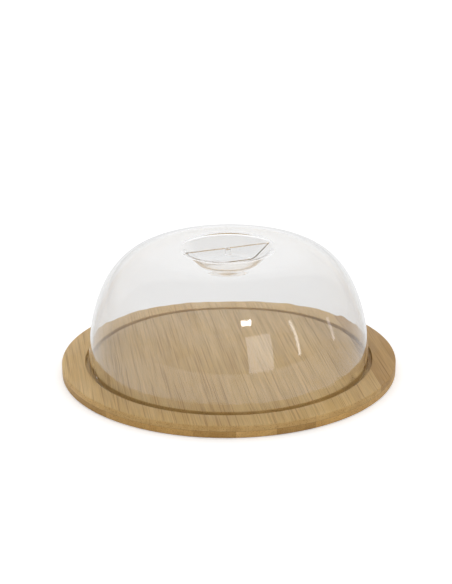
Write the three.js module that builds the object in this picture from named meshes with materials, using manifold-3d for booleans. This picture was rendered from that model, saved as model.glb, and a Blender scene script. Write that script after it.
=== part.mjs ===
// Cheese dome: a round serving board and a clear cover that stands loose in the board's ring groove.
// The board is glued up from two plies of bamboo strips, all with their grain along +Y.
// The cover is one clear moulding. Its grip is a fin across the bowl sunk into its crown.
// Millimetres, +Z up. The origin is the middle of the underside, on the face of the paper label.
import * as THREE from "three";
import { mergeVertices } from "three/addons/utils/BufferGeometryUtils.js";
import Module from "manifold-3d";

// Board
const boardDiameter = 200;
const topPly = 3.5;
const bottomPly = 4;
const stripWidth = 22.6; // stock width of a strip: the board's size sets how many there are
const leastStrip = 2; // an outer strip narrower than this is left to its neighbour
const edgeEase = 0.6; // chamfer along the board's outer edges
const ledgeWidth = 14; // from the board's edge to the groove
const grooveDepth = 2.8;

// Cover
const coverRise = 68.5; // the bowl's lip, the highest point, above the board's top
const coverWall = 1.9;
const outerPlay = 2.2; // from the cover out to the groove's wall
const innerPlay = 0.5; // from the cover in to the groove's wall
const crownRadius = 640;
const crownLand = 15; // from the bowl's rim to where the shoulder begins
const wallFullness = 0.25; // the two handles of the shoulder's curve, as shares of its rise and run
const shoulderFullness = 0.86;

// Grip
const bowlRimRadius = 28.2;
const bowlDepth = 9.4;
const bowlSlope = THREE.MathUtils.degToRad(42);
const lipRadius = 5;
const floorCorner = 4.5;
const finThickness = 1.6;
const finDrop = 0.4; // top of the fin below the bowl's lip
const finTurn = THREE.MathUtils.degToRad(11.5); // the cover fits at any turn, and stands at this one
const gateRadius = 1.9; // round boss in the middle of the fin, where the plastic flowed in
const gateDrop = 0.6; // top of the boss below the fin's
const gateLength = 3.9;

// Label
const labelDiameter = 124;
const labelThickness = 0.2;

const boardSegments = 120;
const coverSegments = 60;
const gateSegments = 16;
const shoulderSteps = 9;
const cornerSteps = 3;
const spare = 5; // how far a cutting solid reaches past what it cuts
const leastLine = 1e-6;

// Levels and radii that follow
const boardRadius = boardDiameter / 2;
const undersideZ = labelThickness;
const glueZ = undersideZ + bottomPly;
const boardTopZ = glueZ + topPly;
const grooveFloorZ = boardTopZ - grooveDepth;
const grooveOuterRadius = boardRadius - ledgeWidth;
const coverRadius = grooveOuterRadius - outerPlay;
const grooveInnerRadius = coverRadius - coverWall - innerPlay;
const stripsEachSide = Math.ceil((boardRadius - stripWidth / 2 - leastStrip) / stripWidth);

const wasm = await Module();
wasm.setup();

// Materials
const clearPlastic = new THREE.MeshStandardMaterial({
  color: 0xe9edf0,
  roughness: 0.05,
  metalness: 0,
  transparent: true,
  opacity: 0.3,
});
const paper = new THREE.MeshStandardMaterial({ color: 0xf1efe8, roughness: 0.8, metalness: 0 });

// Strips are cut from different poles, so neighbours differ a little in lightness.
const bambooHue = 0.093;
const bambooSaturation = 0.4;
const topLightness = 0.58;
const bottomLightness = 0.52;
const lightnessSpread = 0.02;
const lightnessStep = 2.4; // radians from one strip to the next, so that no two neighbours match

function bamboo(plyLightness, place) {
  const lightness = plyLightness + lightnessSpread * Math.cos(lightnessStep * place);
  const color = new THREE.Color().setHSL(bambooHue, bambooSaturation, lightness);
  return new THREE.MeshStandardMaterial({ color, roughness: 0.5, metalness: 0 });
}

// A closed geometry as a solid that can be cut and joined, and back again.
function solid(geometry) {
  const bare = geometry.clone();
  bare.deleteAttribute("normal");
  bare.deleteAttribute("uv");
  const merged = mergeVertices(bare);
  return new wasm.Manifold(
    new wasm.Mesh({
      numProp: 3,
      vertProperties: merged.attributes.position.array,
      triVerts: new Uint32Array(merged.index.array),
    }),
  );
}

function geometryOf(body) {
  const mesh = body.getMesh();
  const geometry = new THREE.BufferGeometry();
  geometry.setAttribute("position", new THREE.BufferAttribute(mesh.vertProperties, mesh.numProp));
  geometry.setIndex(new THREE.BufferAttribute(mesh.triVerts, 1));
  const flat = geometry.toNonIndexed();
  flat.computeVertexNormals();
  return flat;
}

// Turns an outline of [radius, height] points about the vertical axis.
function turned(outline, segments) {
  const points = outline.map(([radius, height]) => new THREE.Vector2(radius, height));
  return solid(new THREE.LatheGeometry(points, segments).rotateX(Math.PI / 2));
}

const group = new THREE.Group();

function addMesh(name, body, material) {
  const mesh = new THREE.Mesh(geometryOf(body), material);
  mesh.name = name;
  group.add(mesh);
}

// Board: each ply is turned whole and then parted into its strips.
function topPlyDisc() {
  return turned(
    [
      [0, glueZ],
      [boardRadius, glueZ],
      [boardRadius, boardTopZ - edgeEase],
      [boardRadius - edgeEase, boardTopZ],
      [grooveOuterRadius, boardTopZ],
      [grooveOuterRadius, grooveFloorZ],
      [grooveInnerRadius, grooveFloorZ],
      [grooveInnerRadius, boardTopZ],
      [0, boardTopZ],
    ],
    boardSegments,
  );
}

function bottomPlyDisc() {
  return turned(
    [
      [0, undersideZ],
      [boardRadius - edgeEase, undersideZ],
      [boardRadius, undersideZ + edgeEase],
      [boardRadius, glueZ],
      [0, glueZ],
    ],
    boardSegments,
  );
}

function addStrips(name, disc, plyLightness) {
  const reach = boardRadius + spare;
  for (let place = -stripsEachSide; place <= stripsEachSide; place += 1) {
    const left = place === -stripsEachSide ? -reach : (place - 0.5) * stripWidth;
    const right = place === stripsEachSide ? reach : (place + 0.5) * stripWidth;
    const slab = new THREE.BoxGeometry(right - left, 2 * reach, 2 * reach);
    const strip = disc.intersect(solid(slab.translate((left + right) / 2, 0, 0)));
    addMesh(`${name}_${place + stripsEachSide + 1}`, strip, bamboo(plyLightness, place));
  }
}

// Cover: the outer surface from the foot up and in to the axis. The inner surface lies one wall inside it.
const lipTopZ = boardTopZ + coverRise;
const lipZ = lipTopZ - lipRadius;
const lipAngle = Math.acos(bowlRimRadius / (crownRadius - lipRadius));
const crownCentreZ = lipZ - (crownRadius - lipRadius) * Math.sin(lipAngle);
const crownZ = (radius) => crownCentreZ + Math.sqrt(crownRadius ** 2 - radius ** 2);
const crownEdgeRadius = bowlRimRadius + crownLand;
const bowlFloorZ = lipTopZ - bowlDepth;
const bowlWallTop = new THREE.Vector2(
  bowlRimRadius - lipRadius * Math.sin(bowlSlope),
  lipZ + lipRadius * Math.cos(bowlSlope),
);
const bowlWallDrop = bowlWallTop.y - bowlFloorZ - floorCorner * (1 - Math.cos(bowlSlope));
const bowlFloorRadius =
  bowlWallTop.x - bowlWallDrop / Math.tan(bowlSlope) - floorCorner * Math.sin(bowlSlope);
const gripBaseZ = bowlFloorZ - coverWall / 2;
const finTopZ = lipTopZ - finDrop;
const gateTopZ = finTopZ - gateDrop;

function coverOutline() {
  const edgeZ = crownZ(crownEdgeRadius);
  const rise = edgeZ - boardTopZ;
  const handle = shoulderFullness * (coverRadius - crownEdgeRadius);
  const crownFall = crownEdgeRadius / crownRadius;
  const edgeAngle = Math.acos(crownEdgeRadius / crownRadius);
  const path = new THREE.Path();
  path.moveTo(coverRadius, grooveFloorZ);
  path.lineTo(coverRadius, boardTopZ);
  path.bezierCurveTo(
    coverRadius,
    boardTopZ + wallFullness * rise,
    crownEdgeRadius + handle,
    edgeZ - handle * crownFall,
    crownEdgeRadius,
    edgeZ,
  );
  path.absarc(0, crownCentreZ, crownRadius, edgeAngle, lipAngle);
  path.absarc(bowlRimRadius, lipZ, lipRadius, lipAngle, Math.PI / 2 + bowlSlope);
  const cornerStart = bowlSlope - Math.PI / 2;
  path.absarc(bowlFloorRadius, bowlFloorZ + floorCorner, floorCorner, cornerStart, -Math.PI / 2, true);
  path.lineTo(0, bowlFloorZ);
  return path;
}

// Points along the path, each with the normal that points out of the cover. The path's curves meet with
// joining lines, and where rounding makes one of no length it is passed over.
function sampled(path) {
  const samples = [];
  for (const curve of path.curves.filter((one) => one.getLength() > leastLine)) {
    const bend = curve instanceof THREE.CubicBezierCurve ? shoulderSteps : cornerSteps;
    const steps = curve instanceof THREE.LineCurve ? 1 : bend;
    for (let step = samples.length ? 1 : 0; step <= steps; step += 1) {
      const point = curve.getPoint(step / steps);
      const tangent = curve.getTangent(step / steps);
      samples.push({ point, normal: new THREE.Vector2(tangent.y, -tangent.x) });
    }
  }
  return samples;
}

function coverShell() {
  const samples = sampled(coverOutline());
  const outer = samples.map(({ point }) => [point.x, point.y]);
  const inner = samples.map(({ point, normal }) => [
    point.x - coverWall * normal.x,
    point.y - coverWall * normal.y,
  ]);
  return turned([...inner.reverse(), ...outer], coverSegments);
}

// The bowl's space out to the middle of its wall: the fin is trimmed to it, so that it ends in the wall.
function finSpace() {
  const shift = coverWall / 2 / Math.sin(bowlSlope);
  const wallRadius = (z) => bowlWallTop.x + shift + (z - bowlWallTop.y) / Math.tan(bowlSlope);
  return turned(
    [
      [0, gripBaseZ],
      [wallRadius(gripBaseZ), gripBaseZ],
      [wallRadius(finTopZ), finTopZ],
      [0, finTopZ],
    ],
    coverSegments,
  );
}

function coverBody() {
  const length = 2 * (bowlRimRadius + spare);
  const height = 2 * (bowlDepth + spare);
  const blank = new THREE.BoxGeometry(length, finThickness, height).rotateZ(finTurn);
  const fin = solid(blank.translate(0, 0, bowlFloorZ)).intersect(finSpace());
  const gate = new THREE.CylinderGeometry(gateRadius, gateRadius, gateLength, gateSegments);
  const boss = solid(gate.rotateX(Math.PI / 2).translate(0, 0, gateTopZ - gateLength / 2));
  return coverShell().add(fin).add(boss);
}

function labelDisc() {
  const radius = labelDiameter / 2;
  return turned(
    [
      [0, 0],
      [radius, 0],
      [radius, labelThickness],
      [0, labelThickness],
    ],
    boardSegments,
  );
}

addStrips("bottom_strip", bottomPlyDisc(), bottomLightness);
addStrips("top_strip", topPlyDisc(), topLightness);
addMesh("dome_cover", coverBody(), clearPlastic);
addMesh("underside_label", labelDisc(), paper);

export default group;
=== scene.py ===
# %% [markdown]
# # A cheese dome in Blender
# The object is two things that come apart in the hand: a round board glued up from bamboo strips, and a
# clear cover that stands loose in a groove turned into the board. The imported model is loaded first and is
# never moved. Everything made here takes its place and size from it, in metres, with +Z up and the
# bamboo's grain along +Y.

# %% Load the frame
import math

import bpy
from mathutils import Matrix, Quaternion, Vector


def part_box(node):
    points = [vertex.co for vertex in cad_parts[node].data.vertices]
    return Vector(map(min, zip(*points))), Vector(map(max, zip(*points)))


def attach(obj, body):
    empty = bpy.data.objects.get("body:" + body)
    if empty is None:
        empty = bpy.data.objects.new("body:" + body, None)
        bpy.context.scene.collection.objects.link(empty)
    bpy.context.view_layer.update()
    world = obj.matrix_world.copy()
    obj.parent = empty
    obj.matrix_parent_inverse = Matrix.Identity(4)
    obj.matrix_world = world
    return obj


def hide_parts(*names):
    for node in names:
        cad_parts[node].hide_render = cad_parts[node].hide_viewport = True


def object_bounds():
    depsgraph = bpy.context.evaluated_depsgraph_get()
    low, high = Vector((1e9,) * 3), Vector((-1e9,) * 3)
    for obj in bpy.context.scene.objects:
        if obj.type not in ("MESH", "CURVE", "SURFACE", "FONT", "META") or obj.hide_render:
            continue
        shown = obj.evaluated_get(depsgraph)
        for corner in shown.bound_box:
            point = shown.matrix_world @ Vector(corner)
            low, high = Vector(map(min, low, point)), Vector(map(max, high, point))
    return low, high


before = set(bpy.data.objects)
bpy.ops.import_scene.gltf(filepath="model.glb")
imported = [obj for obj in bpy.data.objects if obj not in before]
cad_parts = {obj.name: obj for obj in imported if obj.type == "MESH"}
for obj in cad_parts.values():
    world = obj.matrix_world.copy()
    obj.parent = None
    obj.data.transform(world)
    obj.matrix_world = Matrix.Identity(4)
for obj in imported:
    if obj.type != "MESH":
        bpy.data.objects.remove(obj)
cad_low, cad_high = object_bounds()

# %% [markdown]
# ## Sizes
# The boxes of the frame's nodes give the levels and radii that can be read off a box. The few sizes that
# a box can't show, such as the groove's width or the slope of the bowl, are named here once, and
# everything after this is worked out from them.

# %% Levels and radii from the frame
MM = 0.001
STRIPS_PER_PLY = 9
MIDDLE = STRIPS_PER_PLY // 2 + 1

cover_low, cover_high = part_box("dome_cover")
top_low, top_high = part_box(f"top_strip_{MIDDLE}")
bottom_low, bottom_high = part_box(f"bottom_strip_{MIDDLE}")
label_low, label_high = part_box("underside_label")

board_radius = cad_high.x
board_top = top_high.z
glue_level = top_low.z
underside = bottom_low.z
strip_width = top_high.x - top_low.x
cover_radius = cover_high.x
groove_floor = cover_low.z
lip_top = cover_high.z
label_radius = label_high.x
print(f"board {2 * board_radius:.3f} m across, cover {2 * cover_radius:.4f} m, height {lip_top:.4f} m")

# %% [markdown]
# The rest can't be read off a box. The cover's profile is a vertical foot, a shoulder drawn as one cubic
# curve (its two handles are given as shares of its rise and run), a nearly flat crown, and the bowl of
# the grip.

# %% Sizes that no box shows
ledge_width = 14 * MM
cover_wall = 1.9 * MM
inner_play = 0.5 * MM
crown_radius = 640 * MM
crown_land = 15 * MM
wall_fullness = 0.25
shoulder_fullness = 0.86
bowl_rim_radius = 28.2 * MM
bowl_depth = 9.4 * MM
bowl_slope = math.radians(42)
lip_radius = 5 * MM
floor_corner = 8 * MM
fin_thickness = 1.6 * MM
fin_drop = 0.4 * MM
fin_turn = math.radians(11.5)
gate_radius = 1.9 * MM
gate_drop = 0.6 * MM
gate_length = 3.9 * MM

groove_outer = board_radius - ledge_width
groove_inner = cover_radius - cover_wall - inner_play
print(f"groove {(groove_outer - groove_inner) / MM:.2f} mm wide")

# %% [markdown]
# ## The camera
# A long lens from a little under a metre away, looking down on the board at some 22.5 degrees, keeps the
# ellipses of board and lid true. The camera looks at the middle of the board's top, and a small upward
# shift of the lens leaves empty paper above the lid.

# %% Camera
CAMERA_DISTANCE = 0.914
CAMERA_ELEVATION = math.radians(22.55)
CAMERA_AZIMUTH = math.radians(-8.5)
CAMERA_ROLL = math.radians(0.5)
LENS_MM = 93.6
LENS_SHIFT = (-0.0047, 0.108)


def direction(azimuth, elevation):
    """The unit vector at an azimuth, which is 0 straight in front of the board, and an elevation."""
    flat = math.cos(elevation)
    return Vector((math.sin(azimuth) * flat, -math.cos(azimuth) * flat, math.sin(elevation)))


middle = Vector((0, 0, board_top))
towards_camera = direction(CAMERA_AZIMUTH, CAMERA_ELEVATION)
camera_data = bpy.data.cameras.new("camera")
camera_data.lens = LENS_MM
camera_data.shift_x, camera_data.shift_y = LENS_SHIFT
camera = bpy.data.objects.new("camera", camera_data)
camera.rotation_mode = "QUATERNION"
camera.location = middle + CAMERA_DISTANCE * towards_camera
level = (-towards_camera).to_track_quat("-Z", "Y")
camera.rotation_quaternion = level @ Quaternion((0, 0, 1), -CAMERA_ROLL)
bpy.context.scene.collection.objects.link(camera)
bpy.context.scene.camera = camera
print("camera at", tuple(round(c, 3) for c in camera.location))

# %% [markdown]
# ## A short way to write nodes
# Both the shapes and the finishes below are node trees. These helpers add a node, link or fill its inputs
# and hand it back, so that each tree reads as a list of steps.

# %% Node helpers
def add(tree, kind, inputs=None, **settings):
    """Adds a node. inputs maps an input's name or number to a socket to link or a value to set."""
    node = tree.nodes.new(kind)
    for name, value in settings.items():
        setattr(node, name, value)
    for name, value in (inputs or {}).items():
        if isinstance(value, bpy.types.NodeSocket):
            tree.links.new(value, node.inputs[name])
        else:
            node.inputs[name].default_value = value
    return node


def math_of(tree, operation, first, second=0.0):
    return add(tree, "ShaderNodeMath", {0: first, 1: second}, operation=operation).outputs[0]


def from_axis(tree, x, y):
    """The distance of a point from the vertical axis."""
    squares = [math_of(tree, "POWER", side, 2.0) for side in (x, y)]
    return math_of(tree, "SQRT", math_of(tree, "ADD", *squares))


def grey_of(tree, value):
    return add(tree, "ShaderNodeCombineColor", {"Red": value, "Green": value, "Blue": value}).outputs[0]


def ramp(tree, value, low, high, to_low=0.0, to_high=1.0):
    """Maps value from low..high to to_low..to_high with soft ends, clamped."""
    inputs = {"Value": value, "From Min": low, "From Max": high}
    inputs |= {"To Min": to_low, "To Max": to_high}
    return add(tree, "ShaderNodeMapRange", inputs, interpolation_type="SMOOTHSTEP").outputs[0]


def mixed(tree, factor, first, second, blend="MIX"):
    """Mixes two colours, given as sockets or as red, green, blue and 1."""
    inputs = {0: factor, 6: first, 7: second}
    return add(tree, "ShaderNodeMix", inputs, data_type="RGBA", blend_type=blend).outputs[2]


def new_tree(name, kind, inputs, outputs):
    """A node group with named sockets. inputs lists (name, socket type, default), outputs (name, type)."""
    tree = bpy.data.node_groups.new(name, kind)
    for label, socket_type, default in inputs:
        socket = tree.interface.new_socket(name=label, in_out="INPUT", socket_type=socket_type)
        if default is not None:
            socket.default_value = default
    for label, socket_type in outputs:
        tree.interface.new_socket(name=label, in_out="OUTPUT", socket_type=socket_type)
    return tree, tree.nodes.new("NodeGroupInput").outputs, tree.nodes.new("NodeGroupOutput").inputs


GEOMETRY, FLOAT, INTEGER = "NodeSocketGeometry", "NodeSocketFloat", "NodeSocketInt"
VECTOR, MATERIAL = "NodeSocketVector", "NodeSocketMaterial"

# %% [markdown]
# ## Handling marks
# Nothing that is used at table stays evenly glossy. Wiping leaves cloudy smudges, and fine scratches run
# through them. One node group makes both as masks, so that plastic, lacquered bamboo and label each take
# their own share of them into their roughness.

# %% Handling marks group
MM_PER_M = 1000.0
SMUDGE_EDGE = (0.42, 0.68)
SCRATCH_EDGE = (0.5, 0.6)
SCRATCH_WIDTH = 0.012
SCRATCH_BENDS_PER_M = 25.0
SCRATCH_BEND = 0.02


def make_handling_marks():
    sockets = [
        ("Vector", VECTOR, None),
        ("Smudge size mm", FLOAT, 20.0),
        ("Scratch spacing mm", FLOAT, 6.0),
    ]
    results = [("Smudge", FLOAT), ("Scratch", FLOAT)]
    tree, given, out = new_tree("handling_marks", "ShaderNodeTree", sockets, results)
    place = given["Vector"]
    scale = math_of(tree, "DIVIDE", MM_PER_M, given["Smudge size mm"])
    inputs = {"Vector": place, "Scale": scale, "Detail": 5.0, "Distortion": 0.6}
    cloud = add(tree, "ShaderNodeTexNoise", inputs).outputs["Fac"]
    tree.links.new(ramp(tree, cloud, *SMUDGE_EDGE), out["Smudge"])
    fine = math_of(tree, "DIVIDE", MM_PER_M, given["Scratch spacing mm"])
    bent = add(tree, "ShaderNodeTexNoise", {"Vector": place, "Scale": SCRATCH_BENDS_PER_M, "Detail": 1.0})
    inputs = {0: bent.outputs["Color"], "Scale": SCRATCH_BEND}
    offset = add(tree, "ShaderNodeVectorMath", inputs, operation="SCALE").outputs[0]
    moved = add(tree, "ShaderNodeVectorMath", {0: place, 1: offset}, operation="ADD").outputs[0]
    inputs = {"Vector": moved, "Scale": fine}
    cells = add(tree, "ShaderNodeTexVoronoi", inputs, feature="DISTANCE_TO_EDGE")
    line = ramp(tree, cells.outputs["Distance"], 0.0, SCRATCH_WIDTH, 1.0, 0.0)
    broken = ramp(tree, cloud, *SCRATCH_EDGE)
    tree.links.new(math_of(tree, "MULTIPLY", line, broken), out["Scratch"])
    return tree


handling_marks = make_handling_marks()


def add_marks(tree, place, smudge_mm, scratch_mm):
    inputs = {"Vector": place, "Smudge size mm": smudge_mm, "Scratch spacing mm": scratch_mm}
    return add(tree, "ShaderNodeGroup", inputs, node_tree=handling_marks).outputs


print("group", handling_marks.name, [s.name for s in handling_marks.interface.items_tree])

# %% [markdown]
# ## Bamboo
# A bamboo stem is packed with hair-thin dark fibre bundles that all run along it. Cut lengthwise they
# show as long fine lines, and cut across as dots. A pattern drawn on the surface could only be right on
# one face, so the bundles are made as a solid pattern: cells stretched far along +Y and thin across it.
# Top, edge and groove then each cut through the same bundles, and lines turn to dots round the board's
# edge by themselves.

# %% Fibre group
SEED_STEP_MM = (37.1, 91.7, 13.3)
WANDER_MM = 1.2
CORE_EDGE = (0.20, 0.46)
FAINTEST_BUNDLE = 0.50
SOFT_EDGE = (0.3, 0.7)
# Waves per millimetre, across the grain and along it
WANDER_WAVES = (0.05, 0.008)
HAIR_WAVES = (2.4, 0.04)
BAND_WAVES = (0.16, 0.006)


def make_bamboo_fibres():
    sockets = [
        ("Vector", VECTOR, None),
        ("Seed", FLOAT, 0.0),
        ("Bundle spacing mm", FLOAT, 1.2),
        ("Bundle length mm", FLOAT, 80.0),
    ]
    results = [("Bundle", FLOAT), ("Fibre", FLOAT), ("Band", FLOAT)]
    tree, given, out = new_tree("bamboo_fibres", "ShaderNodeTree", sockets, results)

    def vector_of(operation, first, second):
        return add(tree, "ShaderNodeVectorMath", {0: first, 1: second}, operation=operation).outputs[0]

    in_mm = vector_of("MULTIPLY", given["Vector"], (MM_PER_M, MM_PER_M, MM_PER_M))
    seed = given["Seed"]
    away = add(tree, "ShaderNodeCombineXYZ", {"X": seed, "Y": seed, "Z": seed}).outputs[0]
    placed = vector_of("ADD", in_mm, vector_of("MULTIPLY", away, SEED_STEP_MM))

    def noise(waves, detail):
        across, along = waves
        stretched = vector_of("MULTIPLY", placed, (across, along, across))
        inputs = {"Vector": stretched, "Scale": 1.0, "Detail": detail}
        return add(tree, "ShaderNodeTexNoise", inputs).outputs["Fac"]

    wander = math_of(tree, "SUBTRACT", noise(WANDER_WAVES, 1.0), 0.5)
    side = add(tree, "ShaderNodeCombineXYZ", {"X": math_of(tree, "MULTIPLY", wander, WANDER_MM)})
    bent = vector_of("ADD", placed, side.outputs[0])
    across = math_of(tree, "DIVIDE", 1.0, given["Bundle spacing mm"])
    along = math_of(tree, "DIVIDE", 1.0, given["Bundle length mm"])
    size = add(tree, "ShaderNodeCombineXYZ", {"X": across, "Y": along, "Z": across})
    packed = vector_of("MULTIPLY", bent, size.outputs[0])
    cells = add(tree, "ShaderNodeTexVoronoi", {"Vector": packed, "Scale": 1.0})
    chance = add(tree, "ShaderNodeSeparateColor", {0: cells.outputs["Color"]}).outputs[0]
    strength = ramp(tree, chance, 0.0, 1.0, FAINTEST_BUNDLE, 1.0)
    core = ramp(tree, cells.outputs["Distance"], *CORE_EDGE, 1.0, 0.0)
    tree.links.new(math_of(tree, "MULTIPLY", core, strength), out["Bundle"])
    tree.links.new(ramp(tree, noise(HAIR_WAVES, 3.0), *SOFT_EDGE), out["Fibre"])
    tree.links.new(ramp(tree, noise(BAND_WAVES, 1.0), *SOFT_EDGE), out["Band"])
    return tree


bamboo_fibres = make_bamboo_fibres()
print("group", bamboo_fibres.name, "with", len(bamboo_fibres.nodes), "nodes")

# %% [markdown]
# ## The bamboo finish
# One material serves all eighteen strips. Each strip carries three numbers of its own as attributes: a
# tone and a share of amber, since strips come from different poles, and a seed that moves the pattern.
# The cut ends drink more oil and go darker, the board's side is a little more amber than its faces, glue
# shows as a hairline along every joint, and the groove is painted darker: partly a trace of its turning
# burn, partly painted shade in the recess.

# %% Bamboo material
def new_material(name):
    material = bpy.data.materials.new(name)
    material.use_nodes = True
    material.node_tree.nodes.clear()
    return material, material.node_tree


BAMBOO_LIGHT = (0.570, 0.380, 0.154, 1)
BAMBOO_DEEP = (0.505, 0.321, 0.116, 1)
BUNDLE_BROWN = (0.270, 0.148, 0.046, 1)
GLUE_BROWN = (0.180, 0.098, 0.034, 1)
AMBER = (1.0, 0.86, 0.58, 1)
BUNDLE_SPACING_MM = 0.9
BUNDLE_LENGTH_MM = 70.0
HAIR_SHADES = (0.90, 1.08)
BUNDLE_DARKENING = 0.62
END_DARKENING = 0.08
SIDE_AMBER = 0.35
JOINT_DARKENING = 0.4
PLY_DARKENING = 0.5
# How far the groove is darkened: partly turning burn, partly painted shade in the recess
GROOVE_BURN_AND_SHADE = 0.08
# The Y of a face's normal at which an end cut starts to go darker and is darkest
END_FACING = (0.35, 0.95)
# The Z of a face's normal at which the side's amber starts to fade and has gone
SIDE_FACING = (0.3, 0.7)
# Where each is full and where it has ended: away from the glue, away from the groove, below the top
JOINT_EDGE = (0.03 * MM, 0.14 * MM)
PLY_EDGE = (0.03 * MM, 0.18 * MM)
BURN_AND_SHADE_EDGE = (0.2 * MM, 0.6 * MM)
BURN_AND_SHADE_DEPTH = (0.9 * MM, 0.1 * MM)
BAMBOO_MARKS_MM = (35.0, 28.0)
BAMBOO_ROUGHNESS = (0.42, 0.52)
BUNDLE_ROUGHNESS = 0.12
HAIR_RISE = 0.35
GRAIN_DEPTH = 0.04 * MM


def make_bamboo():
    material, tree = new_material("oiled_bamboo")
    place = add(tree, "ShaderNodeTexCoord")
    tone = add(tree, "ShaderNodeAttribute", attribute_name="tone").outputs["Fac"]
    amber = add(tree, "ShaderNodeAttribute", attribute_name="amber").outputs["Fac"]
    seed = add(tree, "ShaderNodeAttribute", attribute_name="seed").outputs["Fac"]
    inputs = {"Vector": place.outputs["Object"], "Seed": seed}
    inputs |= {"Bundle spacing mm": BUNDLE_SPACING_MM, "Bundle length mm": BUNDLE_LENGTH_MM}
    fibres = add(tree, "ShaderNodeGroup", inputs, node_tree=bamboo_fibres)

    colour = mixed(tree, fibres.outputs["Band"], BAMBOO_DEEP, BAMBOO_LIGHT)
    hair = ramp(tree, fibres.outputs["Fibre"], 0.0, 1.0, *HAIR_SHADES)
    colour = mixed(tree, 1.0, colour, grey_of(tree, hair), "MULTIPLY")
    lines = math_of(tree, "MULTIPLY", fibres.outputs["Bundle"], BUNDLE_DARKENING)
    colour = mixed(tree, lines, colour, BUNDLE_BROWN)

    x, y, z = add(tree, "ShaderNodeSeparateXYZ", {0: place.outputs["Object"]}).outputs
    facing = add(tree, "ShaderNodeSeparateXYZ", {0: place.outputs["Normal"]}).outputs
    end_cut = ramp(tree, math_of(tree, "ABSOLUTE", facing[1]), *END_FACING, 0.0, END_DARKENING)
    colour = mixed(tree, end_cut, colour, BUNDLE_BROWN)
    side = ramp(tree, math_of(tree, "ABSOLUTE", facing[2]), *SIDE_FACING, SIDE_AMBER, 0.0)
    warmed = mixed(tree, 1.0, colour, AMBER, "MULTIPLY")
    colour = mixed(tree, math_of(tree, "MAXIMUM", amber, side), colour, warmed)

    half = strip_width / 2
    joint = math_of(tree, "PINGPONG", math_of(tree, "ADD", x, half), half)
    joint_line = ramp(tree, joint, *JOINT_EDGE, JOINT_DARKENING, 0.0)
    ply = math_of(tree, "ABSOLUTE", math_of(tree, "SUBTRACT", z, glue_level))
    ply_line = ramp(tree, ply, *PLY_EDGE, PLY_DARKENING, 0.0)
    colour = mixed(tree, math_of(tree, "MAXIMUM", joint_line, ply_line), colour, GLUE_BROWN)

    # Painted shade and burn: the groove is mixed a little towards dark brown, partly a trace of its turning
    # burn and partly painted shade in the recess
    across = from_axis(tree, x, y)
    near, far = BURN_AND_SHADE_EDGE
    deep, shallow = BURN_AND_SHADE_DEPTH
    below = ramp(tree, z, board_top - deep, board_top - shallow, 1.0, 0.0)
    inside = ramp(tree, across, groove_outer + near, groove_outer + far, 1.0, 0.0)
    outside = ramp(tree, across, groove_inner - far, groove_inner - near)
    groove = math_of(tree, "MULTIPLY", math_of(tree, "MULTIPLY", inside, outside), below)
    colour = mixed(tree, math_of(tree, "MULTIPLY", groove, GROOVE_BURN_AND_SHADE), colour, GLUE_BROWN)
    colour = mixed(tree, 1.0, colour, grey_of(tree, tone), "MULTIPLY")

    marks = add_marks(tree, place.outputs["Object"], *BAMBOO_MARKS_MM)
    rough = ramp(tree, marks["Smudge"], 0.0, 1.0, *BAMBOO_ROUGHNESS)
    open_pores = math_of(tree, "MULTIPLY", fibres.outputs["Bundle"], BUNDLE_ROUGHNESS)
    rough = math_of(tree, "ADD", rough, open_pores)
    sunk = math_of(tree, "MULTIPLY", fibres.outputs["Bundle"], -1.0)
    raised = math_of(tree, "MULTIPLY", fibres.outputs["Fibre"], HAIR_RISE)
    height = math_of(tree, "ADD", sunk, raised)
    bump = add(tree, "ShaderNodeBump", {"Strength": 0.35, "Distance": GRAIN_DEPTH, "Height": height})
    shader = add(
        tree,
        "ShaderNodeBsdfPrincipled",
        {"Base Color": colour, "Roughness": rough, "Normal": bump.outputs[0], "Specular IOR Level": 0.4},
    )
    add(tree, "ShaderNodeOutputMaterial", {"Surface": shader.outputs[0]})
    return material


oiled_bamboo = make_bamboo()
print("material", oiled_bamboo.name, "with", len(oiled_bamboo.node_tree.nodes), "nodes")

# %% [markdown]
# ## Clear plastic
# The cover is moulded from clear, hard plastic with a bright polish. A path tracer bends light through
# its two faces by itself. Left alone it would also throw a hard dark shadow, because lamps are not found
# through bent rays, so a shadow ray passes straight through a faint grey instead.

# %% Clear plastic material
PLASTIC_TINT = (0.982, 0.986, 0.990, 1)
PLASTIC_IOR = 1.53
POLISH = (0.006, 0.022)
SCRATCH_ROUGHNESS = 0.05
SHADOW_TINT = (0.995, 0.995, 0.995, 1)
PLASTIC_MARKS_MM = (30.0, 45.0)


def make_clear_plastic():
    material, tree = new_material("polished_plastic")
    place = add(tree, "ShaderNodeTexCoord").outputs["Object"]
    marks = add_marks(tree, place, *PLASTIC_MARKS_MM)
    rough = ramp(tree, marks["Smudge"], 0.0, 1.0, *POLISH)
    scratched = math_of(tree, "MULTIPLY", marks["Scratch"], SCRATCH_ROUGHNESS)
    rough = math_of(tree, "ADD", rough, scratched)
    shader = add(
        tree,
        "ShaderNodeBsdfPrincipled",
        {
            "Base Color": PLASTIC_TINT,
            "Roughness": rough,
            "IOR": PLASTIC_IOR,
            "Transmission Weight": 1.0,
        },
    )
    through = add(tree, "ShaderNodeBsdfTransparent", {"Color": SHADOW_TINT})
    light_path = add(tree, "ShaderNodeLightPath")
    mix = add(
        tree,
        "ShaderNodeMixShader",
        {0: light_path.outputs["Is Shadow Ray"], 1: shader.outputs[0], 2: through.outputs[0]},
    )
    add(tree, "ShaderNodeOutputMaterial", {"Surface": mix.outputs[0]})
    return material


clear_plastic = make_clear_plastic()
print("material", clear_plastic.name)

# %% [markdown]
# ## Label film
# The label is a round of thin white film. Any print on it is left plain: two rings in a warm yellow stand
# where a maker's design would be. Small bubbles and creases under the film give its bump.

# %% Label material
LABEL_WHITE = (0.82, 0.81, 0.77, 1)
LABEL_GREY = (0.76, 0.75, 0.71, 1)
LABEL_YELLOW = (0.80, 0.42, 0.06, 1)
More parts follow.
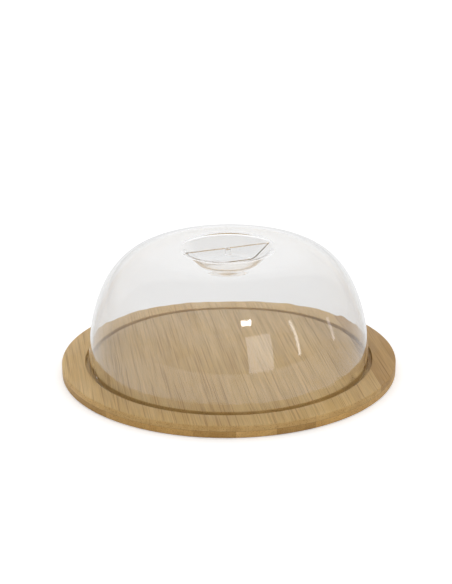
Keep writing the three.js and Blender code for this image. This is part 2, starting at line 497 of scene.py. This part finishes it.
# Inner and outer edge of each ring, as shares of the label's radius
WIDE_RING = (0.80, 0.95)
NARROW_RING = (0.74, 0.76)
PRINT_EDGE = 0.12 * MM
FILM_ROUGHNESS = (0.35, 0.55)
CREASE_DEPTH = 0.05 * MM
MOTTLE_PER_M = 90.0
MOTTLE_RISE = 0.5
FILM_MARKS_MM = (18.0, 15.0)


def make_label_film():
    material, tree = new_material("printed_film")
    place = add(tree, "ShaderNodeTexCoord").outputs["Object"]
    x, y, _ = add(tree, "ShaderNodeSeparateXYZ", {0: place}).outputs
    across = from_axis(tree, x, y)

    def ring(shares):
        inner, outer = (share * label_radius for share in shares)
        past_inner = ramp(tree, across, inner - PRINT_EDGE, inner + PRINT_EDGE)
        before_outer = ramp(tree, across, outer - PRINT_EDGE, outer + PRINT_EDGE, 1.0, 0.0)
        return math_of(tree, "MULTIPLY", past_inner, before_outer)

    rings = math_of(tree, "MAXIMUM", ring(WIDE_RING), ring(NARROW_RING))
    inputs = {"Vector": place, "Scale": MOTTLE_PER_M, "Detail": 6.0}
    mottle = add(tree, "ShaderNodeTexNoise", inputs).outputs["Fac"]
    paper = mixed(tree, ramp(tree, mottle, *SOFT_EDGE), LABEL_WHITE, LABEL_GREY)
    colour = mixed(tree, rings, paper, LABEL_YELLOW)
    marks = add_marks(tree, place, *FILM_MARKS_MM)
    rough = ramp(tree, marks["Smudge"], 0.0, 1.0, *FILM_ROUGHNESS)
    crease = math_of(tree, "ADD", marks["Scratch"], math_of(tree, "MULTIPLY", mottle, MOTTLE_RISE))
    bump = add(tree, "ShaderNodeBump", {"Strength": 0.3, "Distance": CREASE_DEPTH, "Height": crease})
    shader = add(
        tree,
        "ShaderNodeBsdfPrincipled",
        {"Base Color": colour, "Roughness": rough, "Normal": bump.outputs[0]},
    )
    add(tree, "ShaderNodeOutputMaterial", {"Surface": shader.outputs[0]})
    return material


label_film = make_label_film()
print("material", label_film.name)

# %% [markdown]
# ## Turned shapes
# Board, label and cover are all turned: one outline goes round the vertical axis. A screw modifier could
# do it, but a small Geometry Nodes tree shows the rule itself. It lays out a grid with one row for each
# point of the outline and one column for each step round the axis, puts every grid point at its outline
# point turned by its column's angle, and merges what meets at the axis and at the seam.

# %% The turning tree
MERGE_DISTANCE = 1e-6


def make_turning():
    sockets = [("Geometry", GEOMETRY, None), ("Segments", INTEGER, 96), ("Material", MATERIAL, None)]
    tree, given, out = new_tree("turning", "GeometryNodeTree", sockets, [("Geometry", GEOMETRY)])
    outline = given["Geometry"]
    count = add(tree, "GeometryNodeAttributeDomainSize", {0: outline}).outputs["Point Count"]
    columns = add(tree, "FunctionNodeIntegerMath", {0: given["Segments"], 1: 1}, operation="ADD").outputs[0]
    grid = add(tree, "GeometryNodeMeshGrid", {"Vertices X": columns, "Vertices Y": count}).outputs["Mesh"]
    index = add(tree, "GeometryNodeInputIndex").outputs[0]
    column = add(tree, "FunctionNodeIntegerMath", {0: index, 1: count}, operation="DIVIDE_FLOOR").outputs[0]
    row = add(tree, "FunctionNodeIntegerMath", {0: index, 1: count}, operation="MODULO").outputs[0]
    position = add(tree, "GeometryNodeInputPosition").outputs[0]
    source = {"Geometry": outline, "Value": position, "Index": row}
    point = add(tree, "GeometryNodeSampleIndex", source, data_type="FLOAT_VECTOR").outputs[0]
    share = math_of(tree, "DIVIDE", column, given["Segments"])
    angle = math_of(tree, "MULTIPLY", share, 2 * math.pi)
    inputs = {"Vector": point, "Angle": angle}
    spun = add(tree, "ShaderNodeVectorRotate", inputs, rotation_type="Z_AXIS").outputs[0]
    placed = add(tree, "GeometryNodeSetPosition", {"Geometry": grid, "Position": spun}).outputs[0]
    wall = add(tree, "GeometryNodeInputNamedAttribute", {"Name": "wavy"}, data_type="FLOAT")
    source = {"Geometry": outline, "Value": wall.outputs["Attribute"], "Index": row}
    wavy = add(tree, "GeometryNodeSampleIndex", source, data_type="FLOAT").outputs[0]
    inputs = {"Geometry": placed, "Name": "wavy", "Value": wavy}
    store = add(tree, "GeometryNodeStoreNamedAttribute", inputs, data_type="FLOAT", domain="POINT")
    stored = store.outputs[0]
    inputs = {"Geometry": stored, "Distance": MERGE_DISTANCE}
    closed = add(tree, "GeometryNodeMergeByDistance", inputs).outputs[0]
    smooth = add(tree, "GeometryNodeSetShadeSmooth", {"Geometry": closed}).outputs[0]
    real = add(tree, "GeometryNodeRealizeInstances", {"Geometry": smooth}).outputs[0]
    last = add(tree, "GeometryNodeSetMaterial", {"Geometry": real, "Material": given["Material"]})
    tree.links.new(last.outputs[0], out["Geometry"])
    return tree


turning = make_turning()


def use_tree(piece, tree, values):
    """Puts a Geometry Nodes tree on a piece, with its inputs set by name."""
    sockets = tree.interface.items_tree
    identifiers = {s.name: s.identifier for s in sockets if s.in_out == "INPUT"}
    modifier = piece.modifiers.new(tree.name, "NODES")
    modifier.node_group = tree
    for name, value in values.items():
        modifier[identifiers[name]] = value
    return modifier


def settle(piece):
    """Turns what the modifiers make into the piece's own plain mesh."""
    evaluated = piece.evaluated_get(bpy.context.evaluated_depsgraph_get())
    mesh = bpy.data.meshes.new_from_object(evaluated)
    mesh.name = piece.name
    material = mesh.materials[-1]
    mesh.materials.clear()
    mesh.materials.append(material)
    for face in mesh.polygons:
        face.material_index = 0
    piece.modifiers.clear()
    piece.data = mesh
    return piece


def outline_piece(name, outline, wavy=()):
    """An object that holds an outline of (radius, height) points. wavy goes with its first points."""
    mesh = bpy.data.meshes.new(name)
    points = [(radius, 0, height) for radius, height in outline]
    mesh.from_pydata(points, [(i, i + 1) for i in range(len(points) - 1)], [])
    attribute = mesh.attributes.new("wavy", "FLOAT", "POINT")
    for index, share in enumerate(wavy):
        attribute.data[index].value = share
    piece = bpy.data.objects.new(name, mesh)
    bpy.context.scene.collection.objects.link(piece)
    return piece


def turn_outline(name, outline, segments, material):
    piece = outline_piece(name, outline)
    use_tree(piece, turning, {"Segments": segments, "Material": material})
    return settle(piece)


def arc(centre, radius, start, end, steps):
    """Points along an arc, both ends included. Angles are in degrees, anticlockwise from +radius."""
    points = []
    for step in range(steps + 1):
        angle = math.radians(start + (end - start) * step / steps)
        points.append((centre[0] + radius * math.cos(angle), centre[1] + radius * math.sin(angle)))
    return points


print("tree", turning.name, "with", len(turning.nodes), "nodes")

# %% [markdown]
# ## The board's two plies
# Each ply is first turned whole. Every edge that a hand or a knife meets is rounded: the rim with
# sandpaper, the groove's edges a little less, and the groove's floor by the round corners of the cutter.
# Those small roundings are what catch the light, so they are real geometry.

# %% Ply outlines
RIM_ROUND = 0.8 * MM
GROOVE_ROUND = 0.35 * MM
CUTTER_ROUND = 0.6 * MM
BOARD_SEGMENTS = 256
ROUND_STEPS = 5


def top_ply_outline():
    points = [(0, glue_level), (board_radius, glue_level)]
    points += arc((board_radius - RIM_ROUND, board_top - RIM_ROUND), RIM_ROUND, 0, 90, ROUND_STEPS)
    eased_height = board_top - GROOVE_ROUND
    corner_height = groove_floor + CUTTER_ROUND
    points += arc((groove_outer + GROOVE_ROUND, eased_height), GROOVE_ROUND, 90, 180, ROUND_STEPS)
    points += arc((groove_outer - CUTTER_ROUND, corner_height), CUTTER_ROUND, 0, -90, ROUND_STEPS)
    points += arc((groove_inner + CUTTER_ROUND, corner_height), CUTTER_ROUND, 270, 180, ROUND_STEPS)
    points += arc((groove_inner - GROOVE_ROUND, eased_height), GROOVE_ROUND, 0, 90, ROUND_STEPS)
    return points + [(0, board_top)]


def bottom_ply_outline():
    points = [(0, underside)]
    points += arc((board_radius - RIM_ROUND, underside + RIM_ROUND), RIM_ROUND, -90, 0, ROUND_STEPS)
    return points + [(board_radius, glue_level), (0, glue_level)]


top_ply = turn_outline("top_ply", top_ply_outline(), BOARD_SEGMENTS, oiled_bamboo)
bottom_ply = turn_outline("bottom_ply", bottom_ply_outline(), BOARD_SEGMENTS, oiled_bamboo)
print("plies", len(top_ply.data.polygons), len(bottom_ply.data.polygons), "faces")

# %% [markdown]
# ## Parting the plies into strips
# A ply is nine strips glued side by side. Each strip is the same rule with other numbers, what lies
# between two planes of the turned ply, so one Geometry Nodes tree cuts them all. It also writes the
# strip's tone, amber and seed on it for the bamboo finish.

# %% The strip tree
def make_strip_cutter():
    sockets = [
        ("Geometry", GEOMETRY, None),
        ("Left", FLOAT, 0.0),
        ("Right", FLOAT, 0.0),
        ("Reach", FLOAT, 0.0),
        ("Tone", FLOAT, 1.0),
        ("Amber", FLOAT, 0.0),
        ("Seed", FLOAT, 0.0),
        ("Material", MATERIAL, None),
    ]
    tree, given, out = new_tree("strip_cutter", "GeometryNodeTree", sockets, [("Geometry", GEOMETRY)])
    width = math_of(tree, "SUBTRACT", given["Right"], given["Left"])
    length = math_of(tree, "MULTIPLY", given["Reach"], 2.0)
    size = add(tree, "ShaderNodeCombineXYZ", {"X": width, "Y": length, "Z": length}).outputs[0]
    cube = add(tree, "GeometryNodeMeshCube", {"Size": size}).outputs["Mesh"]
    centre = math_of(tree, "MULTIPLY", math_of(tree, "ADD", given["Right"], given["Left"]), 0.5)
    move = add(tree, "ShaderNodeCombineXYZ", {"X": centre}).outputs[0]
    slab = add(tree, "GeometryNodeTransform", {"Geometry": cube, "Translation": move}).outputs[0]
    cut = add(tree, "GeometryNodeMeshBoolean", operation="INTERSECT", solver="MANIFOLD")
    tree.links.new(given["Geometry"], cut.inputs["Mesh 2"])
    tree.links.new(slab, cut.inputs["Mesh 2"])
    strip = cut.outputs["Mesh"]
    for name in ("Tone", "Amber", "Seed"):
        inputs = {"Geometry": strip, "Name": name.lower(), "Value": given[name]}
        node = add(tree, "GeometryNodeStoreNamedAttribute", inputs, data_type="FLOAT", domain="POINT")
        strip = node.outputs[0]
    real = add(tree, "GeometryNodeRealizeInstances", {"Geometry": strip}).outputs[0]
    last = add(tree, "GeometryNodeSetMaterial", {"Geometry": real, "Material": given["Material"]})
    tree.links.new(last.outputs[0], out["Geometry"])
    return tree


strip_cutter = make_strip_cutter()
print("tree", strip_cutter.name, "with", len(strip_cutter.nodes), "nodes")

# %% [markdown]
# Left to chance, two strips of one tone would often lie side by side, so the tones are listed. The bottom
# ply is the sort that is kept for undersides: darker and less even. The two outermost strips of a ply
# have no neighbour to stop at, so their slabs reach past the rim.

# %% Cut the eighteen strips
TOP_TONES = (1.04, 0.95, 0.99, 0.98, 1.00, 1.03, 1.08, 0.99, 0.76)
TOP_AMBER = (0.05, 0.15, 0.05, 0.10, 0.00, 0.00, 0.00, 0.20, 1.00)
BOTTOM_TONES = (0.78, 0.92, 0.98, 0.82, 1.12, 0.80, 1.10, 1.06, 1.04)
BOTTOM_AMBER = (0.90, 0.80, 0.80, 1.00, 0.50, 0.90, 0.70, 0.60, 0.60)
TOP_SEED = 0
BOTTOM_SEED = 20
REACH = board_radius + 5 * MM
SHARP = math.radians(35)


def cut_strips(ply, name, node, tones, ambers, first_seed):
    half = STRIPS_PER_PLY // 2
    strips = []
    for number in range(1, STRIPS_PER_PLY + 1):
        place = number - 1 - half
        left = -REACH if number == 1 else (place - 0.5) * strip_width
        right = REACH if number == STRIPS_PER_PLY else (place + 0.5) * strip_width
        strip = bpy.data.objects.new(f"{name}_{number}", ply.data.copy())
        bpy.context.scene.collection.objects.link(strip)
        values = {"Left": left, "Right": right, "Reach": REACH, "Material": oiled_bamboo}
        values |= {"Tone": tones[number - 1], "Amber": ambers[number - 1]}
        values["Seed"] = float(first_seed + number)
        use_tree(strip, strip_cutter, values)
        settle(strip)
        strip.data.set_sharp_from_angle(angle=SHARP)
        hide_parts(f"{node}_{number}")
        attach(strip, "board")
        strips.append(strip)
    bpy.data.objects.remove(ply)
    return strips


top_strips = cut_strips(top_ply, "upper_bamboo", "top_strip", TOP_TONES, TOP_AMBER, TOP_SEED)
bottom_strips = cut_strips(
    bottom_ply, "lower_bamboo", "bottom_strip", BOTTOM_TONES, BOTTOM_AMBER, BOTTOM_SEED
)
print("strips", [len(s.data.polygons) for s in top_strips + bottom_strips])

# %% [markdown]
# ## The cover
# The outer face is one line: up from the foot, in over the shoulder, nearly flat across the crown, over a
# soft lip and down into the bowl. The inner face is the same line moved in by the wall, which is a little
# thinner at the foot and thicker in the bowl. That taper matters to the eye: light that is trapped
# between two parallel faces leaves only at the edges, as dark or bright rings, and a taper lets it leak
# out.

# %% Cover outline
FOOT_ROUND = 0.5 * MM
ROUGH_BELOW = 15 * MM
CALM_ABOVE = 26 * MM
CALM = 0.02
# The wall at the foot and at the bowl's middle, as shares of its mean
THIN = 0.78
THICK = 1.22
SHOULDER_STEPS = 52
CURVE_STEPS = 9


def bezier(points, steps):
    """Points and outward normals along a cubic curve from the foot up, without its first point."""
    traced = []
    for step in range(1, steps + 1):
        t = step / steps
        weights = ((1 - t) ** 3, 3 * t * (1 - t) ** 2, 3 * t * t * (1 - t), t**3)
        slopes = (-((1 - t) ** 2), (1 - t) * (1 - 3 * t), t * (2 - 3 * t), t * t)
        place = [sum(w * p[axis] for w, p in zip(weights, points)) for axis in (0, 1)]
        along = [sum(s * p[axis] for s, p in zip(slopes, points)) for axis in (0, 1)]
        size = math.hypot(*along)
        traced.append((place, (along[1] / size, -along[0] / size)))
    return traced


def bend(centre, radius, start, end, outward, steps):
    """Points and outward normals along an arc. outward is 1 where it bulges and -1 where it hollows."""
    traced = []
    for step in range(steps + 1):
        angle = start + (end - start) * step / steps
        way = (math.cos(angle), math.sin(angle))
        place = (centre[0] + radius * way[0], centre[1] + radius * way[1])
        traced.append((place, (outward * way[0], outward * way[1])))
    return traced


lip_height = lip_top - lip_radius
lip_angle = math.acos(bowl_rim_radius / (crown_radius - lip_radius))
crown_centre = lip_height - (crown_radius - lip_radius) * math.sin(lip_angle)
crown_edge = bowl_rim_radius + crown_land
edge_angle = math.acos(crown_edge / crown_radius)
edge_height = crown_centre + crown_radius * math.sin(edge_angle)
bowl_floor = lip_top - bowl_depth
wall_top = (
    bowl_rim_radius - lip_radius * math.sin(bowl_slope),
    lip_height + lip_radius * math.cos(bowl_slope),
)
wall_drop = wall_top[1] - bowl_floor - floor_corner * (1 - math.cos(bowl_slope))
floor_radius = wall_top[0] - wall_drop / math.tan(bowl_slope) - floor_corner * math.sin(bowl_slope)


def outer_face():
    rise = edge_height - board_top
    handle = shoulder_fullness * (cover_radius - crown_edge)
    curve = (
        (cover_radius, board_top),
        (cover_radius, board_top + wall_fullness * rise),
        (crown_edge + handle, edge_height - handle * crown_edge / crown_radius),
        (crown_edge, edge_height),
    )
    face = [((cover_radius, groove_floor + FOOT_ROUND), (1, 0)), ((cover_radius, board_top), (1, 0))]
    face += bezier(curve, SHOULDER_STEPS)
    face += bend((0, crown_centre), crown_radius, edge_angle, lip_angle, 1, CURVE_STEPS)[1:]
    lip_end = math.pi / 2 + bowl_slope
    face += bend((bowl_rim_radius, lip_height), lip_radius, lip_angle, lip_end, 1, CURVE_STEPS)[1:]
    corner = (floor_radius, bowl_floor + floor_corner)
    face += bend(corner, floor_corner, bowl_slope - math.pi / 2, -math.pi / 2, -1, CURVE_STEPS)
    return face + [((floor_radius / 2, bowl_floor), (0, 1)), ((0, bowl_floor), (0, 1))]


def waviness(height):
    """The share of the full ripple at this height of the inner face: all of it low down, little above."""
    share = (CALM_ABOVE - height) / (CALM_ABOVE - ROUGH_BELOW)
    return CALM + (1 - CALM) * min(max(share, 0), 1)


def cover_outline():
    """The outline from the axis under the bowl round to the axis above it, and how wavy its start is."""
    face = outer_face()
    inner = []
    for number, (p, n) in reversed(list(enumerate(face))):
        wall = cover_wall * (THIN + (THICK - THIN) * number / len(face))
        inner.append((p[0] - wall * n[0], p[1] - wall * n[1]))
    outer = [tuple(p) for p, n in face]
    inner_foot = (cover_radius - THIN * cover_wall + FOOT_ROUND, groove_floor + FOOT_ROUND)
    outer_foot = (cover_radius - FOOT_ROUND, groove_floor + FOOT_ROUND)
    foot = arc(inner_foot, FOOT_ROUND, 180, 270, ROUND_STEPS)[1:]
    foot += arc(outer_foot, FOOT_ROUND, -90, 0, ROUND_STEPS)[:-1]
    return inner + foot + outer, [waviness(height) for _, height in inner]


print(f"cover outline of {len(cover_outline()[0])} points, bowl floor {floor_radius / MM:.1f} mm in radius")

# %% [markdown]
# Real mouldings ripple a little where the plastic froze unevenly, mostly near the foot, and a tenth of a
# millimetre is enough to make the board's far edge wander. A bump in the finish would do it for the
# surface only. Here the inner face itself is moved along its normal by a noise, so the bent light
# follows.

# %% The ripple tree
def make_ripple():
    sockets = [
        ("Geometry", GEOMETRY, None),
        ("Height", FLOAT, 0.0),
        ("Length", FLOAT, 0.01),
        ("Material", MATERIAL, None),
    ]
    tree, given, out = new_tree("ripple", "GeometryNodeTree", sockets, [("Geometry", GEOMETRY)])
    position = add(tree, "GeometryNodeInputPosition").outputs[0]
    scale = math_of(tree, "DIVIDE", 1.0, given["Length"])
    noise = add(tree, "ShaderNodeTexNoise", {"Vector": position, "Scale": scale, "Detail": 2.0})
    wavy = add(tree, "GeometryNodeInputNamedAttribute", {"Name": "wavy"}, data_type="FLOAT")
    centred = math_of(tree, "SUBTRACT", noise.outputs["Fac"], 0.5)
    lift = math_of(tree, "MULTIPLY", centred, given["Height"])
    lift = math_of(tree, "MULTIPLY", lift, wavy.outputs["Attribute"])
    normal = add(tree, "GeometryNodeInputNormal").outputs[0]
    offset = add(tree, "ShaderNodeVectorMath", {0: normal, "Scale": lift}, operation="SCALE").outputs[0]
    inputs = {"Geometry": given["Geometry"], "Offset": offset}
    moved = add(tree, "GeometryNodeSetPosition", inputs).outputs[0]
    real = add(tree, "GeometryNodeRealizeInstances", {"Geometry": moved}).outputs[0]
    last = add(tree, "GeometryNodeSetMaterial", {"Geometry": real, "Material": given["Material"]})
    tree.links.new(last.outputs[0], out["Geometry"])
    return tree


ripple = make_ripple()
print("tree", ripple.name, "with", len(ripple.nodes), "nodes")

# %% Turn the cover
COVER_SEGMENTS = 180
RIPPLE_HEIGHT = 0.7 * MM
RIPPLE_LENGTH = 9 * MM

outline, wavy_start = cover_outline()
cover = outline_piece("clear_cover", outline, wavy_start)
use_tree(cover, turning, {"Segments": COVER_SEGMENTS, "Material": clear_plastic})
values = {"Height": RIPPLE_HEIGHT, "Length": RIPPLE_LENGTH, "Material": clear_plastic}
use_tree(cover, ripple, values)
settle(cover)
print("cover shell", len(cover.data.polygons), "faces")

# %% [markdown]
# ## The grip
# There is no knob. A thin upright fin crosses the bowl, and fingers pinch it. It is part of the same
# moulding, so it is joined to the shell by a boolean and not pushed into it: with glass-like materials a
# hidden inner face would show. The fin is thinner at its top, as a mould needs, and its top edge is
# rounded. A short round boss at its middle marks where the plastic flowed in.

# %% Fin and boss
FIN_DRAFT = 0.25 * MM
FIN_ROUND = 0.5 * MM
FIN_FILLET = 0.15 * MM
FIN_STEPS = 5
BOSS_SEGMENTS = 40

grip_base = bowl_floor - cover_wall / 2
fin_top = lip_top - fin_drop


def fin_section():
    """The fin's section across its length, as (side, height) points."""
    half = fin_thickness / 2
    centre = (half - FIN_ROUND, fin_top - FIN_ROUND)
    foot = (half + FIN_DRAFT + FIN_FILLET, bowl_floor + FIN_FILLET)
    right = [(foot[0], grip_base)] + arc(foot, FIN_FILLET, 270, 180, FIN_STEPS)
    right += arc(centre, FIN_ROUND, 0, 90, FIN_STEPS)
    return right + [(-side, height) for side, height in reversed(right)]


def make_fin():
    """The fin with pointed ends: its length at each height reaches the middle of the bowl's wall."""
    section = fin_section()
    shift = cover_wall / 2 / math.sin(bowl_slope)
    points = []
    for end in (-1, 1):
        for side, height in section:
            reach = wall_top[0] + shift + (height - wall_top[1]) / math.tan(bowl_slope)
            along = end * math.sqrt(reach**2 - side**2)
            points.append(Quaternion((0, 0, 1), fin_turn) @ Vector((along, side, height)))
    count = len(section)
    faces = [tuple(reversed(range(count))), tuple(range(count, 2 * count))]
    for i in range(count):
        j = (i + 1) % count
        faces.append((i, j, count + j, count + i))
    mesh = bpy.data.meshes.new("fin")
    mesh.from_pydata(points, [], faces)
    mesh.materials.append(clear_plastic)
    fin = bpy.data.objects.new("fin", mesh)
    bpy.context.scene.collection.objects.link(fin)
    return fin


def join_by_boolean(piece, tool):
    modifier = piece.modifiers.new("join", "BOOLEAN")
    modifier.operation = "UNION"
    modifier.solver = "MANIFOLD"
    modifier.object = tool
    settle(piece)
    bpy.data.objects.remove(tool)


gate_top = fin_top - gate_drop
gate_bottom = gate_top - gate_length
boss_outline = [(0, gate_bottom)]
boss_corner = gate_radius - FOOT_ROUND
boss_outline += arc((boss_corner, gate_bottom + FOOT_ROUND), FOOT_ROUND, -90, 0, ROUND_STEPS)
boss_outline += arc((boss_corner, gate_top - FOOT_ROUND), FOOT_ROUND, 0, 90, ROUND_STEPS)
boss_outline += [(0, gate_top)]
boss = turn_outline("boss", boss_outline, BOSS_SEGMENTS, clear_plastic)
join_by_boolean(cover, make_fin())
join_by_boolean(cover, boss)
cover.data.set_sharp_from_angle(angle=SHARP)
evenly = cover.modifiers.new("even_normals", "WEIGHTED_NORMAL")
evenly.keep_sharp = True
settle(cover)
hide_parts("dome_cover")
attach(cover, "cover")
print("cover", len(cover.data.polygons), "faces")

# %% [markdown]
# ## The label
# A thin disc stuck on the underside, where the board rests. Its edge is rounded, as film is where a die
# has pressed it down.

# %% Label
LABEL_SEGMENTS = 192
thickness = label_high.z - label_low.z
edge = thickness / 2
label_outline = [(0, label_low.z)]
label_outline += arc((label_radius - edge, label_low.z + edge), edge, -90, 0, ROUND_STEPS)
label_outline += [(label_radius, label_high.z), (0, label_high.z)]
label = turn_outline("plain_label", label_outline, LABEL_SEGMENTS, label_film)
label.data.set_sharp_from_angle(angle=SHARP)
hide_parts("underside_label")
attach(label, "board")
print("label", len(label.data.polygons), "faces")

# %% [markdown]
# ## Paper
# The object stands on white paper. The paper is seen from above only, so that the underside can be looked
# at too. A little light of its own, for the camera alone, keeps it evenly white.

# %% Floor
FLOOR_SIZE = 6.0
PAPER_WHITE = (0.93, 0.93, 0.93, 1)
PAPER_LIFT = 0.3


def make_floor():
    material, tree = new_material("white_paper")
    white = add(tree, "ShaderNodeBsdfDiffuse", {"Color": PAPER_WHITE})
    camera_ray = add(tree, "ShaderNodeLightPath").outputs["Is Camera Ray"]
    lift = math_of(tree, "MULTIPLY", camera_ray, PAPER_LIFT)
    glow = add(tree, "ShaderNodeEmission", {"Strength": lift})
    paper = add(tree, "ShaderNodeAddShader", {0: white.outputs[0], 1: glow.outputs[0]})
    clear = add(tree, "ShaderNodeBsdfTransparent")
    behind = add(tree, "ShaderNodeNewGeometry").outputs["Backfacing"]
    mix = add(tree, "ShaderNodeMixShader", {0: behind, 1: paper.outputs[0], 2: clear.outputs[0]})
    add(tree, "ShaderNodeOutputMaterial", {"Surface": mix.outputs[0]})
    mesh = bpy.data.meshes.new("paper_floor")
    half = FLOOR_SIZE / 2
    corners = [(-half, -half, 0), (half, -half, 0), (half, half, 0), (-half, half, 0)]
    mesh.from_pydata(corners, [], [(0, 1, 2, 3)])
    mesh.materials.append(material)
    floor = bpy.data.objects.new("paper_floor", mesh)
    bpy.context.scene.collection.objects.link(floor)
    return floor


make_floor()

# %% [markdown]
# ## Light from all round
# A clear thing shows little but what stands round it. The world is the room: bright overhead, dimmer low
# down in front, where the onlooker stands, and with a tall white sheet behind. The sheet's border mirrors
# in the cover as one faint line that follows the shoulder. The camera itself sees plain white.

# %% World
SHEET = 1.14
ROOM = 0.90
ROOM_LOW = 0.46
# The share of the sheet's extra light at its foot, which is below zero: there it is dimmer than the room
SHEET_FOOT = -0.4
# Where one part gives way to the next, as the Y of the unit vector towards it
SHEET_BORDER = (0.52, 0.57)
FRONT_BORDER = (-0.9, -0.1)
# The same, as its Z
FOOT_BORDER = (0.0, 0.3)
LOW_BORDER = (0.0, 0.6)
WHITE = (1, 1, 1, 1)


def make_world():
    world = bpy.data.worlds.new("studio")
    world.use_nodes = True
    tree = world.node_tree
    tree.nodes.clear()
    way = add(tree, "ShaderNodeTexCoord").outputs["Generated"]
    _, back, up = add(tree, "ShaderNodeSeparateXYZ", {0: way}).outputs
    front = ramp(tree, back, *FRONT_BORDER, 1.0, 0.0)
    low = ramp(tree, up, *LOW_BORDER, 1.0, 0.0)
    room = ramp(tree, math_of(tree, "MULTIPLY", front, low), 0.0, 1.0, ROOM, ROOM_LOW)
    sheet = ramp(tree, back, *SHEET_BORDER, 0.0, SHEET - ROOM)
    foot = ramp(tree, up, *FOOT_BORDER, SHEET_FOOT, 1.0)
    strength = math_of(tree, "ADD", room, math_of(tree, "MULTIPLY", sheet, foot))
    seen = add(tree, "ShaderNodeBackground", {"Color": WHITE, "Strength": 1.0})
    lit = add(tree, "ShaderNodeBackground", {"Color": WHITE, "Strength": strength})
    camera_ray = add(tree, "ShaderNodeLightPath").outputs["Is Camera Ray"]
    mix = add(tree, "ShaderNodeMixShader", {0: camera_ray, 1: lit.outputs[0], 2: seen.outputs[0]})
    add(tree, "ShaderNodeOutputWorld", {"Surface": mix.outputs[0]})
    bpy.context.scene.world = world


make_world()

# %% [markdown]
# ## Highlights
# Four boxes give the cover its highlights: a small bright window, a tall pale panel and two thin tubes.
# Each was placed where a ray from the camera goes on after it mirrors in the cover. They throw no light
# on the bamboo, so they can be moved without changing anything else.

# %% Soft boxes
BOX_DISTANCE = 2.0
# Name, azimuth and elevation in degrees seen from the board, width and height in metres, radiance
SOFT_BOXES = (
    ("window", 9, 39.5, 0.27, 0.20, 22.0),
    ("tall_panel", 17, 13, 0.72, 0.92, 1.5),
    ("near_tube", 50, 17, 0.07, 0.95, 4.0),
    ("far_tube", 86, 6, 0.08, 0.55, 2.0),
)


def soft_box(name, azimuth, elevation, width, height, radiance):
    """A light that only mirrors in shiny things."""
    data = bpy.data.lights.new(name, "AREA")
    data.shape = "RECTANGLE"
    data.size = width
    data.size_y = height
    data.energy = radiance * math.pi * width * height
    box = bpy.data.objects.new(name, data)
    towards_box = direction(math.radians(azimuth), math.radians(elevation))
    box.location = middle + BOX_DISTANCE * towards_box
    box.rotation_mode = "QUATERNION"
    box.rotation_quaternion = towards_box.to_track_quat("Z", "Y")
    box.visible_camera = False
    box.visible_diffuse = False
    bpy.context.scene.collection.objects.link(box)


for row in SOFT_BOXES:
    soft_box(*row)

# %% [markdown]
# Light that gets caught inside the clear wall may bounce many times before it leaves, so the limits are
# high. The plain view transform keeps white paper white.

# %% Colour and bounces
BOUNCES = 128
scene = bpy.context.scene
scene.view_settings.view_transform = "Standard"
scene.cycles.max_bounces = BOUNCES
scene.cycles.glossy_bounces = BOUNCES
scene.cycles.transmission_bounces = BOUNCES
